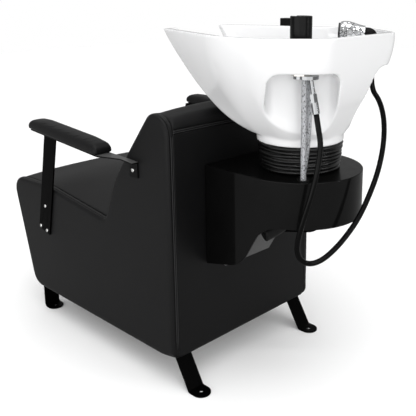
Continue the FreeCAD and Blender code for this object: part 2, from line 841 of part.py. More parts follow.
def tilt_pins():
    pins = []
    for side in SIDES.values():
        out = yoke_half_span + ear_thickness
        tip = inner_ear - pin_head
        pin = cylinder(pin_radius, out - tip, at(tip, basin_axis, pivot_height), ACROSS)
        head = hexagon(pin_head_radius, pin_head, at(out, basin_axis, pivot_height), ACROSS)
        pins.append(for_side(fuse([pin, head]), side))
    return Part.makeCompound(pins)


def tilt_washers():
    rings = []
    for side in SIDES.values():
        base = at(yoke_half_span - washer_thickness + running_gap, basin_axis, pivot_height)
        ring = cylinder(washer_radius, washer_thickness - running_gap, base, ACROSS)
        rings.append(for_side(ring.cut(cylinder(pin_radius, washer_thickness, base, ACROSS)), side))
    return Part.makeCompound(rings)


def tilt_nuts():
    nuts = []
    for side in SIDES.values():
        base = at(inner_ear - pin_head, basin_axis, pivot_height)
        nut = hexagon(pin_head_radius, pin_head - running_gap, base, ACROSS)
        nuts.append(for_side(nut.cut(cylinder(pin_radius, pin_head, base, ACROSS)), side))
    return Part.makeCompound(nuts)


def plan_section(height, front, front_half, half, side_front, side_rear, rear_half, rear, corner_radii):
    """Eight-cornered plan of the basin with rounded corners."""
    left = [(front_half, -front), (half, side_front), (half, side_rear), (rear_half, rear)]
    points = left + [(-x, y) for x, y in reversed(left)]
    radii = list(corner_radii) + list(reversed(corner_radii))
    return tangent_wire([V(x, y, height) for x, y in points], radii, closed=True)


def niche(side):
    """Upright scoop under a rear corner of the deck, which fades out where the bowl draws in."""
    out = V(cos(radians(niche_turn)), sin(radians(niche_turn)), 0)
    aside = V(-out.y, out.x, 0)
    centre = at(deck_x, deck_y, collar_top - overrun)
    reach = body_width / 2
    near, far = niche_shift - niche_half_width, niche_shift + niche_half_width
    corners = [(-niche_back, near), (reach, near), (reach, far), (-niche_back, far)]
    points = [centre + out * u + aside * v for u, v in corners]
    wire = tangent_wire(points, [niche_radius] * 4, closed=True)
    scoop = prism(wire, UP * (niche_top - collar_top + overrun))
    low, high = collar_top - overrun, niche_top
    mouth = [(near, low), (far, low), (far, high), (near, high)]
    base = at(deck_x, deck_y, 0) - out * niche_back
    arch = tangent_wire([base + aside * v + UP * z for v, z in mouth],
                        [overrun, overrun, niche_roof_radius, niche_roof_radius], closed=True)
    return for_side(scoop.common(prism(arch, out * (reach + niche_back))), side)


def basin():
    """Glazed bowl on a round collar, with a neck notch between two ears and a deck for the fittings."""
    outer = Part.makeLoft([plan_section(*row) for row in zip(
        section_heights, front_reaches, front_half_widths, side_half_widths, side_front_depths,
        side_rear_depths, rear_half_widths, rear_reaches,
        zip(front_plan_radii, side_plan_radii, flank_plan_radii, rear_plan_radii))], True, False)
    hollow = Part.makeLoft([plan_section(*row) for row in zip(
        bowl_heights, bowl_front_reaches, bowl_front_half_widths, bowl_half_widths, bowl_side_front_depths,
        bowl_side_rear_depths, bowl_rear_half_widths, bowl_rear_reaches,
        zip(bowl_front_radii, bowl_side_radii, bowl_flank_radii, bowl_rear_radii))], True, False)
    collar = cylinder(collar_radius, collar_top - collar_bottom, at(0, basin_axis, collar_bottom))
    body = outer
    for side in SIDES.values():
        body = body.cut(niche(side))
    body = body.fuse(collar).removeSplitter()
    deck_radii = [rim_radius, rim_wall, flank_plan_radii[-1] - rim_wall, rear_plan_radii[-1] - rim_wall]
    deck_plan = plan_section(deck_height, -side_front_depths[-1], bowl_half_widths[-1],
                             side_half_widths[-1] - rim_wall, side_front_depths[-1] + rim_wall,
                             side_rear_depths[-1] - rim_wall / 2, rear_half_widths[-1] - rim_wall / 2,
                             rear_reaches[-1] - rim_wall, deck_radii)
    deck = prism(deck_plan, UP * (rim_height - deck_height + overrun))
    high = rim_height + overrun
    notch_points = [(-notch_half_width, high), (notch_half_width, high),
                    (notch_half_width, rim_height - notch_depth),
                    (-notch_half_width, rim_height - notch_depth)]
    front = -front_reaches[-1] - overrun
    notch = prism(tangent_wire([V(x, front, z) for x, z in notch_points],
                               [overrun / 2, overrun / 2, notch_radius, notch_radius], closed=True),
                  REARWARD * notch_reach)
    body = body.cut(hollow).cut(deck).cut(notch)
    body = body.cut(waste_way(collar_bottom - overrun, rim_height))
    body = body.cut(ring_at(foot_ring_outer, foot_ring_inner, collar_bottom - overrun,
                            collar_bottom + foot_ring_depth))
    for x, y in ((deck_x, deck_y), (-deck_x, spray_y)):
        length = rim_height - niche_top + 2 * overrun
        body = body.cut(cylinder(deck_hole_radius, length, at(x, y, niche_top - overrun)))
    return body


def drain_strainer():
    """Waste fitting: drilled flange in the bowl floor and a threaded tail below."""
    floor = bowl_heights[0]
    flange = cylinder(waste_flange_radius, waste_flange, at(0, basin_axis, floor))
    tail = cylinder(waste_tail_radius, floor - waste_tail_bottom, at(0, basin_axis, waste_tail_bottom))
    body = fuse([flange, tail])
    body = body.cut(cylinder(waste_bore, floor - waste_tail_bottom, at(0, basin_axis, waste_tail_bottom)))
    for i in range(strainer_holes):
        angle = 2 * pi * i / strainer_holes
        spot = at(strainer_circle * cos(angle), basin_axis + strainer_circle * sin(angle), floor - overrun)
        body = body.cut(cylinder(strainer_hole_radius, waste_flange + 2 * overrun, spot))
    return body


def ring_at(outer, inner, low, high, x=0, y=basin_axis):
    return cylinder(outer, high - low, at(x, y, low)).cut(cylinder(inner, high - low, at(x, y, low)))


def drain_nut():
    low = tilt_plate_low - nut_height
    nut = hexagon(nut_radius, nut_height, at(0, basin_axis, low))
    return nut.cut(waste_way(low - overrun, tilt_plate_low + overrun))


knob_low = deck_height + tap_base_height + tap_running_gap
lever_low = tap_top - lever_drop - lever_height


def tap_base():
    base = cylinder(tap_base_radius, tap_base_height, at(deck_x, deck_y, deck_height))
    rim = [e for e in base.Edges if e.BoundBox.ZMin > deck_height + tap_base_height / 2]
    base = base.makeFillet(tap_edge_radius, rim)
    way = cylinder(spindle_radius + running_gap, tap_base_height, at(deck_x, deck_y, deck_height))
    return base.cut(way)


def tap_knob():
    """Round mixer knob with its spindle and the slot that the lever lifts in."""
    knob = cylinder(tap_knob_radius, tap_top - knob_low, at(deck_x, deck_y, knob_low))
    rim = [e for e in knob.Edges if e.BoundBox.ZMin > knob_low + tap_knob_radius]
    knob = knob.makeFillet(tap_edge_radius, rim)
    spindle = cylinder(spindle_radius, spindle_length, at(deck_x, deck_y, knob_low - spindle_length))
    wide = lever_width / 2 + lever_slot_gap
    slot = box(at(deck_x - wide, deck_y - tap_knob_radius - overrun, lever_low - lever_sink),
               at(deck_x + wide, deck_y + lever_tail + lever_sink, tap_top + overrun))
    return fuse([knob, spindle]).cut(slot)


def lever_pin():
    z = lever_low + lever_height / 2
    length = 2 * (tap_knob_radius - lever_pin_radius)
    return cylinder(lever_pin_radius, length, at(deck_x - length / 2, deck_y, z), ACROSS)


def tap_lever():
    wide = lever_width / 2
    lever = box(at(deck_x - wide, deck_y - tap_knob_radius - lever_length, lever_low),
                at(deck_x + wide, deck_y + lever_tail, lever_low + lever_height))
    edges = [e for e in lever.Edges if not round(e.Curve.Direction.y)]
    lever = lever.makeFillet(lever_pin_radius, edges)
    bore = cylinder(lever_pin_radius + running_gap, lever_width + 2 * overrun,
                    at(deck_x - wide - overrun, deck_y, lever_low + lever_height / 2), ACROSS)
    return lever.cut(bore)


def tap_shank():
    """Threaded shank through the deck with an offset manifold disc that the hoses screw into."""
    shank = cylinder(tap_shank_radius, deck_height - tap_shank_bottom, at(deck_x, deck_y, tap_shank_bottom))
    middle = at(deck_x - manifold_shift_x, deck_y + manifold_shift_y, tap_shank_bottom)
    manifold = cylinder(manifold_radius, niche_top - tap_nut_height - tap_shank_bottom, middle)
    return fuse([shank, manifold])


def back_nut(x, y, bore):
    nut = hexagon(tap_nut_radius, tap_nut_height, at(x, y, niche_top - tap_nut_height))
    return nut.cut(cylinder(bore + running_gap, tap_nut_height, at(x, y, niche_top - tap_nut_height)))


def hose_line():
    start = at(outlet_x, outlet_y, tap_shank_bottom)
    end = V(*shower_route[0])
    way = (end - start).normalize()
    return start, end, way


def outlet_tube():
    start, end, way = hose_line()
    length = (end - start).Length - hose_nut_length - hose_ferrule_length
    tube = cylinder(outlet_radius, length + outlet_radius, start - way * outlet_radius, way)
    return tube.cut(tap_shank())


def hose_nut():
    start, end, way = hose_line()
    base = end - way * (hose_nut_length + hose_ferrule_length)
    return hexagon(hose_nut_radius, hose_nut_length, base, way)


def hose_ferrule():
    start, end, way = hose_line()
    length = hose_ferrule_length - hose_ferrule_gap
    return cylinder(hose_ferrule_radius, length, end - way * hose_ferrule_length, way)


def union(route):
    end, before = V(*route[-1]), V(*route[-2])
    return hexagon(union_radius, union_length, end, end - before)


def spray_holder():
    x, y = -deck_x, spray_y
    flange = cylinder(holder_flange_radius, holder_flange, at(x, y, deck_height))
    rim = [e for e in flange.Edges if e.BoundBox.ZMin > deck_height + holder_flange / 2]
    flange = flange.makeFillet(tap_edge_radius, rim)
    low = niche_top - tap_nut_height
    sleeve = cylinder(holder_radius, deck_height - low, at(x, y, low))
    bore = cylinder(holder_bore, rim_height - low, at(x, y, low - overrun))
    return fuse([flange, sleeve]).cut(bore)


def head_line():
    return at(-deck_x, spray_y, neck_height), V(head_reach_x, -head_reach_y, head_lift)


def spray_handle():
    """Handle that stands in the holder and bends over into the head."""
    foot_point = at(-deck_x, spray_y, handle_bottom)
    start, reach = head_line()
    end = start + reach * head_length_shares[1]
    path = tangent_wire([foot_point, start, end], [0, neck_bend, 0])
    return swept(Part.Wire(Part.makeCircle(handle_radius, foot_point, UP)), path)


def spray_head():
    start, reach = head_line()
    rings = [Part.Wire(Part.makeCircle(radius, start + reach * share, reach))
             for share, radius in zip(head_length_shares[1:], head_radii[1:])]
    return Part.makeLoft(rings, True, False)


def spray_face():
    start, reach = head_line()
    return cylinder(face_radius, face_thickness, start + reach, reach)


def spray_tail():
    return hexagon(tail_nut_radius, tail_nut_length, at(-deck_x, spray_y, handle_bottom - tail_nut_length))


def all_pieces():
    pieces = {}
    foot_bolts, arm_bolts, back_bolts = foot_screws(), arm_screws(), bracket_bolts()
    for word, side in SIDES.items():
        pieces[f"side_panel_{word}"] = side_panel(side).cut(arm_bolts)
        pieces[f"foot_rear_{word}"] = foot(side, True)
        pieces[f"foot_front_{word}"] = foot(side, False)
        pieces[f"arm_bar_{word}"] = arm_bar(side)
        pieces[f"arm_strip_{word}"] = arm_strip(side)
        pieces[f"arm_pad_{word}"] = arm_pad(side)
    front_inside = front_face(body_bottom) + front_panel_thickness
    pieces.update({
        "seat_cushion": seat_cushion(), "backrest_cushion": backrest_cushion(),
        "front_panel": front_panel(), "back_panel": back_panel().cut(back_bolts),
        "seat_board": seat_board(), "back_board": back_board(),
        "dust_cover": dust_cover().cut(foot_bolts),
        "base_rail_front": base_rail(front_inside + rail_depth).cut(foot_bolts),
        "base_rail_rear": base_rail(-back_panel_thickness).cut(foot_bolts),
        "foot_screws": foot_bolts, "arm_screws": arm_bolts,
        "mount_plate": mount_plate(), "bracket_skirt": bracket_skirt(),
        "bracket_top_plate": bracket_top_plate(),
        "bracket_bolts": back_bolts, "supply_grommet": supply_grommet(), "bellows": bellows(),
        "tilt_yoke": tilt_yoke(), "tilt_plate": tilt_plate(), "tilt_pins": tilt_pins(),
        "tilt_washers": tilt_washers(), "tilt_nuts": tilt_nuts(),
        "basin": basin(), "drain_strainer": drain_strainer(), "drain_nut": drain_nut(),
        "drain_gasket": ring_at(gasket_radius, waste_tail_radius + soft_gap, tilt_plate_top, collar_bottom),
        "drain_hose": route_tube(drain_route, drain_radius, "drain hose"),
        "tap_base": tap_base(), "tap_knob": tap_knob(), "lever_pin": lever_pin(), "tap_lever": tap_lever(),
        "tap_shank": tap_shank(), "tap_backnut": back_nut(deck_x, deck_y, tap_shank_radius),
        "outlet_tube": outlet_tube(), "hose_nut": hose_nut(), "hose_ferrule": hose_ferrule(),
        "shower_hose": route_tube(shower_route, shower_radius, "shower hose"),
        "spray_holder": spray_holder(), "spray_backnut": back_nut(-deck_x, spray_y, holder_radius),
        "spray_handle": spray_handle(), "spray_head": spray_head(), "spray_face": spray_face(),
        "spray_tail": spray_tail(),
    })
    for word, route in supply_routes.items():
        pieces[f"supply_hose_{word}"] = route_tube(route, supply_radius, f"supply hose {word}")
        pieces[f"supply_union_{word}"] = union(route)
    return pieces


pieces = all_pieces()
pieces["tap_knob"] = pieces["tap_knob"].cut(pieces["lever_pin"])
pieces["spray_head"] = pieces["spray_head"].cut(pieces["spray_handle"])
reach = FreeCAD.BoundBox()
for name, shape in pieces.items():
    if "hose_" not in name and not name.endswith("hose"):
        reach.add(shape.optimalBoundingBox(False, False))
centring = V(0, -(reach.YMin + reach.YMax) / 2, 0)
print(f"size {reach.XLength:.1f} x {reach.YLength:.1f} x {reach.ZLength:.1f}, moved {centring.y:.2f} in Y")
for name, shape in pieces.items():
    shape.translate(centring)
    shape.exportStep(f"parts/{name}.step")
    solids = len(shape.Solids)
    print(f"{name}: {solids} solids, volume {shape.Volume / 1000:.1f} cm3, valid {shape.isValid()}")
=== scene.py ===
import math

import bmesh
import bpy
from mathutils import Matrix, Vector
from mathutils.bvhtree import BVHTree


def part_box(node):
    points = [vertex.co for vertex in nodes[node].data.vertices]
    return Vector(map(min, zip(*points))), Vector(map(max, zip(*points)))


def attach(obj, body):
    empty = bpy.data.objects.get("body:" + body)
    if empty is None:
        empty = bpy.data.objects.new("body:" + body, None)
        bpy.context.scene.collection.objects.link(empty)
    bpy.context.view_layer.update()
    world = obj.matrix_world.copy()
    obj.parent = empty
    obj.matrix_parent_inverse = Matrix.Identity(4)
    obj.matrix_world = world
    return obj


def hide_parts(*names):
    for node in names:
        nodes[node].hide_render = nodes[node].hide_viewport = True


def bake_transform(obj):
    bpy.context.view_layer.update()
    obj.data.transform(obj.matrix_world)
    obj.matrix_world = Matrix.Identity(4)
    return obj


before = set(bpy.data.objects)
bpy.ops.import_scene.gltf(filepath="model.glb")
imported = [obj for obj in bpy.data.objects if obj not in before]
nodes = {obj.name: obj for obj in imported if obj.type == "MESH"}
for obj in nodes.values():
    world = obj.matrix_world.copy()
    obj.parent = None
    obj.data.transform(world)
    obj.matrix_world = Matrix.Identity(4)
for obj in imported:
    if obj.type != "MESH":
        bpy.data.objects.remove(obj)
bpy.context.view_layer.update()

# Camera at the photograph's viewpoint: behind the unit on the sitter's left, a little above the basin rim.
# The optical axis passes through the pixel given here, which is as far off centre as the framing needs.
photo_size = 416
axis_pixel = (244, 140)
camera_place = Vector((1.3003, 1.4449, 1.0626))
camera_azimuth, camera_elevation, camera_roll = math.radians(133.626), math.radians(13.037), math.radians(-0.271)
focal_pixels = 665.63
sensor_width = 36.0
back = Vector((math.sin(camera_azimuth) * math.cos(camera_elevation),
               -math.cos(camera_azimuth) * math.cos(camera_elevation), math.sin(camera_elevation)))
side = Vector((0, 0, 1)).cross(back).normalized()
rise = back.cross(side)
turn = Matrix((side, rise, back)).transposed().to_4x4() @ Matrix.Rotation(camera_roll, 4, "Z")
camera = bpy.data.objects.new("camera", bpy.data.cameras.new("camera"))
camera.matrix_world = Matrix.Translation(camera_place) @ turn
camera.data.sensor_width = sensor_width
camera.data.lens = focal_pixels * sensor_width / photo_size
camera.data.shift_x = (photo_size / 2 - axis_pixel[0]) / photo_size
camera.data.shift_y = (axis_pixel[1] - photo_size / 2) / photo_size
bpy.context.scene.collection.objects.link(camera)
bpy.context.scene.camera = camera


# Studio: a white floor under a broad soft light from above, with white air all round.
# Two broad panels fill the shaded sides, and two narrow strips draw the highlights on paint and chrome.
# Only the camera sees the floor and the air at full white, so that the black pieces stay black.
def add_object(name, data):
    """Puts a new mesh, curve or light into the scene."""
    made = bpy.data.objects.new(name, data)
    bpy.context.scene.collection.objects.link(made)
    return made


class Value:
    """A shader socket that can be used in sums."""

    def __init__(self, finish, socket):
        self.finish, self.socket = finish, socket

    def _math(self, operation, *terms):
        return self.finish.node("ShaderNodeMath", {"operation": operation}, dict(enumerate(terms)))

    def __add__(self, other):
        return self._math("ADD", self, other)

    def __sub__(self, other):
        return self._math("SUBTRACT", self, other)

    def __rsub__(self, other):
        return self._math("SUBTRACT", other, self)

    def __mul__(self, other):
        return self._math("MULTIPLY", self, other)

    def __gt__(self, other):
        return self._math("GREATER_THAN", self, other)

    def __lt__(self, other):
        return self._math("LESS_THAN", self, other)

    def __abs__(self):
        return self._math("ABSOLUTE", self)

    def power(self, other):
        return self._math("POWER", self, other)

    def above(self, floor):
        return self._math("MAXIMUM", self, floor)

    def sine(self):
        return self._math("SINE", self)


class Finish:
    """A surface finish on one principled shader, built from nodes."""

    def __init__(self, name, **sockets):
        self.material = bpy.data.materials.new(name)
        self.material.use_nodes = True
        self.tree = self.material.node_tree
        self.shader = self.tree.nodes["Principled BSDF"]
        for socket, value in sockets.items():
            self.shader.inputs[socket.replace("_", " ").title().replace("Ior", "IOR")].default_value = value

    def node(self, kind, settings=None, inputs=None, output=0):
        made = self.tree.nodes.new(kind)
        for key, value in (settings or {}).items():
            setattr(made, key, value)
        for key, value in (inputs or {}).items():
            if isinstance(value, Value):
                self.tree.links.new(value.socket, made.inputs[key])
            else:
                made.inputs[key].default_value = value
        return Value(self, made.outputs[output])

    def place(self, stretch=(1, 1, 1)):
        spot = self.node("ShaderNodeTexCoord", output="Object")
        return self.node("ShaderNodeVectorMath", {"operation": "MULTIPLY"}, {0: spot, 1: stretch})

    def axis(self, name):
        return self.node("ShaderNodeSeparateXYZ", None, {0: self.place()}, output=name)

    def noise(self, scale, detail=3.0, stretch=(1, 1, 1)):
        return self.node("ShaderNodeTexNoise", None,
                         {"Vector": self.place(stretch), "Scale": scale, "Detail": detail})

    def mix(self, mask, low, high):
        return self.node("ShaderNodeMix", {"data_type": "RGBA"}, {0: mask, 6: low, 7: high}, output=2)

    def feed(self, socket, value):
        self.tree.links.new(value.socket, self.shader.inputs[socket])

    def bump(self, height, strength, distance):
        self.feed("Normal", self.node("ShaderNodeBump", None,
                                      {"Strength": strength, "Distance": distance, "Height": height}))


bpy.context.scene.view_settings.view_transform = "Standard"
floor_half = 9.0
floor_tones = (0.45, 0.45, 0.45, 1), (0.94, 0.94, 0.94, 1)
floor_glow = (0, 0, 0, 1), (0.05, 0.05, 0.05, 1)
floor_finish = Finish("studio_floor", specular_ior_level=0.0, emission_strength=1.0)
floor_seen = floor_finish.node("ShaderNodeLightPath", output="Is Camera Ray")
floor_finish.feed("Base Color", floor_finish.mix(floor_seen, *floor_tones))
floor_finish.feed("Emission Color", floor_finish.mix(floor_seen, *floor_glow))
floor_finish.feed("Roughness", floor_finish.noise(3.0) * 0.1 + 0.85)
floor_mesh = bpy.data.meshes.new("studio_floor")
floor_mesh.from_pydata([(-floor_half, -floor_half, 0), (floor_half, -floor_half, 0),
                        (floor_half, floor_half, 0), (-floor_half, floor_half, 0)], [], [(0, 1, 2, 3)])
floor = add_object("studio_floor", floor_mesh)
floor_mesh.materials.append(floor_finish.material)
world = bpy.data.worlds.new("studio_air")
world.use_nodes = True
air = world.node_tree.nodes["Background"]
air.inputs["Color"].default_value = (1, 1, 1, 1)


def air_node(kind, **values):
    """Adds a node to the studio's air and gives back its outputs."""
    made = world.node_tree.nodes.new(kind)
    for name, value in values.items():
        socket = made.inputs[name.replace("_", " ").title()]
        if isinstance(value, bpy.types.NodeSocket):
            world.node_tree.links.new(value, socket)
        else:
            socket.default_value = value
    return made.outputs


horizon_glow, high_glow, high_from = 0.4, 0.66, 0.8
height_seen = air_node("ShaderNodeSeparateXYZ", vector=air_node("ShaderNodeTexCoord")["Generated"])["Z"]
glow = air_node("ShaderNodeMapRange", value=height_seen, from_min=0.0, from_max=high_from,
                to_min=horizon_glow, to_max=high_glow)
seen = air_node("ShaderNodeLightPath")["Is Camera Ray"]
strength = air_node("ShaderNodeMapRange", value=seen, to_min=glow["Result"], to_max=1.0)
world.node_tree.links.new(strength["Result"], air.inputs["Strength"])
bpy.context.scene.world = world
sky_power, sky_spread, sky_lean = 1.5, math.radians(70), (math.radians(-12), math.radians(10), 0)
sky = bpy.data.lights.new("soft_sky", "SUN")
sky.energy, sky.angle = sky_power, sky_spread
add_object("soft_sky", sky).rotation_euler = sky_lean


def soft_light(name, place, target, size, power):
    """Hangs a rectangular lamp that faces its target."""
    lamp = bpy.data.lights.new(name, "AREA")
    lamp.shape, lamp.size, lamp.size_y, lamp.energy = "RECTANGLE", size[0], size[1], power
    made = add_object(name, lamp)
    made.location = place
    made.rotation_euler = (Vector(target) - Vector(place)).to_track_quat("-Z", "Y").to_euler()


soft_light("camera_side_panel", place=(2.0, 3.0, 0.9), target=(0, 0.2, 0.6), size=(4.2, 2.6), power=62)
soft_light("low_side_panel", place=(3.0, 0.1, 0.3), target=(0, 0.3, 0.75), size=(3.0, 2.2), power=50)
soft_light("rear_strip", place=(-0.9, 2.6, 1.3), target=(0, 0.4, 0.6), size=(0.03, 1.5), power=7)
soft_light("top_strip", place=(1.1, 1.3, 2.6), target=(0, 0.4, 0.6), size=(1.5, 0.03), power=7)


# Feet and base: bent flat steel feet in black powder coat, screwed up into the rails of a plywood frame.
# A woven lining is stapled over the underside, and boards carry the seat and the back.
foot_round, weld_gap, round_steps, sharp_from = 0.0009, 0.00001, 3, math.radians(40)


def dress(finish, *names):
    """Gives the named solids a finish."""
    for name in names:
        slots = nodes[name].data.materials
        slots.clear()
        slots.append(finish.material)


def rounded(node, width, finish, body):
    """Copy of a hard solid whose edges are broken by a small round, standing in for it."""
    made = add_object(f"{node}_finished", nodes[node].data.copy())
    made.data.shade_smooth()
    weld = made.modifiers.new("weld", "WELD")
    weld.merge_threshold = weld_gap
    edge = made.modifiers.new("edge", "BEVEL")
    edge.width, edge.segments, edge.limit_method, edge.angle_limit = width, round_steps, "ANGLE", sharp_from
    edge.use_clamp_overlap = True
    facing = made.modifiers.new("facing", "WEIGHTED_NORMAL")
    facing.weight, facing.keep_sharp = 100, True
    bpy.context.view_layer.update()
    mesh = bpy.data.meshes.new_from_object(made.evaluated_get(bpy.context.evaluated_depsgraph_get()))
    made.modifiers.clear()
    made.data = mesh
    mesh.materials.clear()
    mesh.materials.append(finish.material)
    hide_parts(node)
    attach(made, body)


powder_coat = Finish("black_powder_coat", specular_ior_level=0.02)
scuffs = powder_coat.noise(130, 4) > 0.66
powder_coat.feed("Base Color", powder_coat.mix(scuffs, (0.0008, 0.0008, 0.0008, 1), (0.0016, 0.0016, 0.0016, 1)))
powder_coat.feed("Roughness", powder_coat.noise(40) * 0.16 + 0.28)
powder_coat.bump(powder_coat.noise(800, 2), 0.12, 0.0004)
for side_word in ("left", "right"):
    for end_word in ("front", "rear"):
        rounded(f"foot_{end_word}_{side_word}", foot_round, powder_coat, "root")

zinc = Finish("zinc_plate", metallic=0.92)
spangle = zinc.node("ShaderNodeTexVoronoi", {"feature": "F1"}, {"Vector": zinc.place(), "Scale": 260.0},
                    output="Color")
zinc.feed("Base Color", zinc.mix(spangle, (0.36, 0.37, 0.38, 1), (0.52, 0.53, 0.54, 1)))
zinc.feed("Roughness", zinc.noise(90) * 0.2 + 0.3)
dress(zinc, "foot_screws")

timber = Finish("birch_ply", specular_ior_level=0.25)
grain = timber.noise(9, 5, (1, 12, 12)) + timber.noise(60, 2, (1, 10, 10)) * 0.4
timber.feed("Base Color", timber.mix(grain, (0.36, 0.22, 0.11, 1), (0.62, 0.45, 0.27, 1)))
timber.feed("Roughness", grain * 0.2 + 0.5)
timber.bump(grain, 0.15, 0.0006)
dress(timber, "base_rail_front", "base_rail_rear", "seat_board", "back_board")

lining = Finish("woven_lining", specular_ior_level=0.1)
threads_per_metre = 3200
threads = (lining.axis("X") * threads_per_metre).sine() * (lining.axis("Y") * threads_per_metre).sine()
lining.feed("Base Color", lining.mix(lining.noise(30), (0.012, 0.012, 0.012, 1), (0.022, 0.022, 0.022, 1)))
lining.feed("Roughness", lining.noise(200) * 0.1 + 0.85)
lining.bump(threads, 0.4, 0.0004)
dress(lining, "dust_cover")


# Upholstery: black leatherette stretched over foam and board, stapled under the frame.
# The cushions, panels and pads are softened copies of their solids.
# The back is sewn to the sides, and its roll to its lower half, with felled seams between two stitched lines; the
# lines carry painted shade, and the raised threads beside them a painted highlight.
rear_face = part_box("back_panel")[1][1]
half_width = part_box("side_panel_left")[1][0]
seam_inset, seam_width, line_half = 0.0095, 0.0105, 0.0021
back_seam_height, stitch_pitch, stitch_share, back_from = 0.712, 0.0045, 0.55, 0.12
ridge_height, line_depth, prick_depth = 0.5, 1.4, 0.3


def leather_base(finish):
    """Gloss of the leatherette; gives back the height of its grain and the patches of its tone."""
    cells = finish.node("ShaderNodeTexVoronoi", {"feature": "DISTANCE_TO_EDGE"},
                        {"Vector": finish.place(), "Scale": 520.0})
    patches = finish.noise(6, 3)
    finish.feed("Roughness", patches * 0.1 + 0.42)
    return cells.power(0.5) * 0.13 + finish.noise(1500, 2) * 0.05, patches


leather = Finish("black_leatherette", specular_ior_level=0.16)
leather_height, leather_patches = leather_base(leather)
crease_shade_tone = (0.0008, 0.0008, 0.0008, 1)
leather_tones = (0.0026, 0.0026, 0.0028, 1), (0.0039, 0.0039, 0.0041, 1)
leather.feed("Base Color", leather.mix(leather_patches, *leather_tones))
leather.bump(leather_height, 0.8, 0.001)

sewn_leather = Finish("sewn_leatherette", specular_ior_level=0.16)
sewn_height, sewn_patches = leather_base(sewn_leather)
across = abs(sewn_leather.axis("X"))
up, behind = sewn_leather.axis("Z"), sewn_leather.axis("Y")


def sewn_line(distance):
    """Mask of a stitched crease, full at its middle."""
    return (1 - distance * (1 / line_half)).above(0.0)


outer_line = sewn_line(abs(across - (half_width - seam_inset)))
inner_line = sewn_line(abs(across - (half_width - seam_inset - seam_width)))
on_back = (behind > back_from) * (half_width - seam_inset - seam_width > across)
upper_line = sewn_line(abs(up - (back_seam_height + seam_width / 2))) * on_back
lower_line = sewn_line(abs(up - (back_seam_height - seam_width / 2))) * on_back
lines = outer_line.above(inner_line).above(upper_line).above(lower_line)
side_ridge = (across > half_width - seam_inset - seam_width) * (half_width - seam_inset > across)
back_ridge = (seam_width / 2 > abs(up - back_seam_height)) * on_back
holes = ((up - behind) * (2 * math.pi / stitch_pitch)).sine() > stitch_share
back_holes = (across * (2 * math.pi / stitch_pitch)).sine() > stitch_share
pricks = inner_line.above(outer_line) * holes + upper_line.above(lower_line) * back_holes
# Painted shade: the stitched creases get a darker tone where shade falls in them.
sewn_leather.feed("Base Color", sewn_leather.mix(
    lines, sewn_leather.mix(sewn_patches, *leather_tones), crease_shade_tone))
sewn_relief = side_ridge.above(back_ridge) * ridge_height
sewn_leather.bump(sewn_height + sewn_relief - lines * line_depth - pricks * prick_depth, 1.0, 0.0014)


def baked(made):
    """The object with its modifiers worked into its mesh."""
    bpy.context.view_layer.update()
    mesh = bpy.data.meshes.new_from_object(made.evaluated_get(bpy.context.evaluated_depsgraph_get()))
    made.modifiers.clear()
    made.data = mesh
    mesh.shade_smooth()
    mesh.materials.clear()
    return made


def softened(names, voxel, passes, fill=0.0):
    """One soft-edged cover over the named solids, standing in for them; grooves up to twice the fill are closed."""
    made = add_object(f"{names[0]}_cover", nodes[names[0]].data.copy())
    shell = bmesh.new()
    for name in names:
        shell.from_mesh(nodes[name].data)
    shell.to_mesh(made.data)
    shell.free()
    for swell in (fill, -fill):
        remesh = made.modifiers.new("remesh", "REMESH")
        remesh.mode, remesh.voxel_size = "VOXEL", voxel
        if fill:
            push = made.modifiers.new("push", "DISPLACE")
            push.strength, push.mid_level = swell, 0.0
    smooth = made.modifiers.new("smooth", "SMOOTH")
    smooth.factor, smooth.iterations = 0.5, passes
    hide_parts(*names)
    return baked(made)


shell_cover = softened(["backrest_cushion", "back_panel", "front_panel", "side_panel_left", "side_panel_right"],
                       voxel=0.0045, passes=4, fill=0.006)
corner_round, edge_round, corner_reach = 0.032, 0.006, 0.09
shell_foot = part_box("back_panel")[0][2]
for vertex in shell_cover.data.vertices:
    share = min(max((vertex.co.y - rear_face + corner_reach) / corner_reach, 0), 1)
    turn_radius = edge_round + (corner_round - edge_round) * share ** 2
    beyond = abs(vertex.co.x) - (half_width - turn_radius)
    below = shell_foot + turn_radius - vertex.co.z
    reach = math.hypot(beyond, below)
    if beyond > 0 and below > 0 and reach > turn_radius:
        vertex.co.x = math.copysign(half_width - turn_radius + beyond * turn_radius / reach, vertex.co.x)
        vertex.co.z = shell_foot + turn_radius - below * turn_radius / reach
seat_cover = softened(["seat_cushion"], voxel=0.0035, passes=2)
pad_covers = [softened([f"arm_pad_{word}"], voxel=0.003, passes=14) for word in ("left", "right")]
pad_crown, end_fall = 0.006, 6
for word, cover in zip(("left", "right"), pad_covers):
    low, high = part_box(f"arm_pad_{word}")
    for vertex in cover.data.vertices:
        across_share = (2 * vertex.co.x - low[0] - high[0]) / (high[0] - low[0])
        along_share = (2 * vertex.co.y - low[1] - high[1]) / (high[1] - low[1])
        crown = (1 - across_share ** 2) * (1 - along_share ** end_fall)
        vertex.co.z += pad_crown * max(crown, 0) * max(vertex.normal.z, 0)
skin = BVHTree.FromPolygons([vertex.co.copy() for vertex in shell_cover.data.vertices],
                            [list(face.vertices) for face in shell_cover.data.polygons])
seam_heart, far_out = (rear_face - 0.115, 0.5), 1.5
seam_from, seam_to, seam_points, back_seam_points = math.radians(-73), math.radians(148), 180, 81
thread_inset, thread_radius, thread_sides, ease_rounds = 0.0028, 0.0012, 8, 6
# Painted highlight: the raised seam threads get a lighter leatherette than the cover, standing in for the light they
# catch.
seam_highlight_leather = Finish("seam_highlight_leatherette", specular_ior_level=0.4)
seam_highlight_tones = (0.013, 0.013, 0.0135, 1), (0.021, 0.021, 0.0215, 1)
seam_highlight_leather.feed("Base Color", seam_highlight_leather.mix(seam_highlight_leather.noise(400), *seam_highlight_tones))
seam_highlight_leather.feed("Roughness", seam_highlight_leather.noise(90) * 0.1 + 0.34)


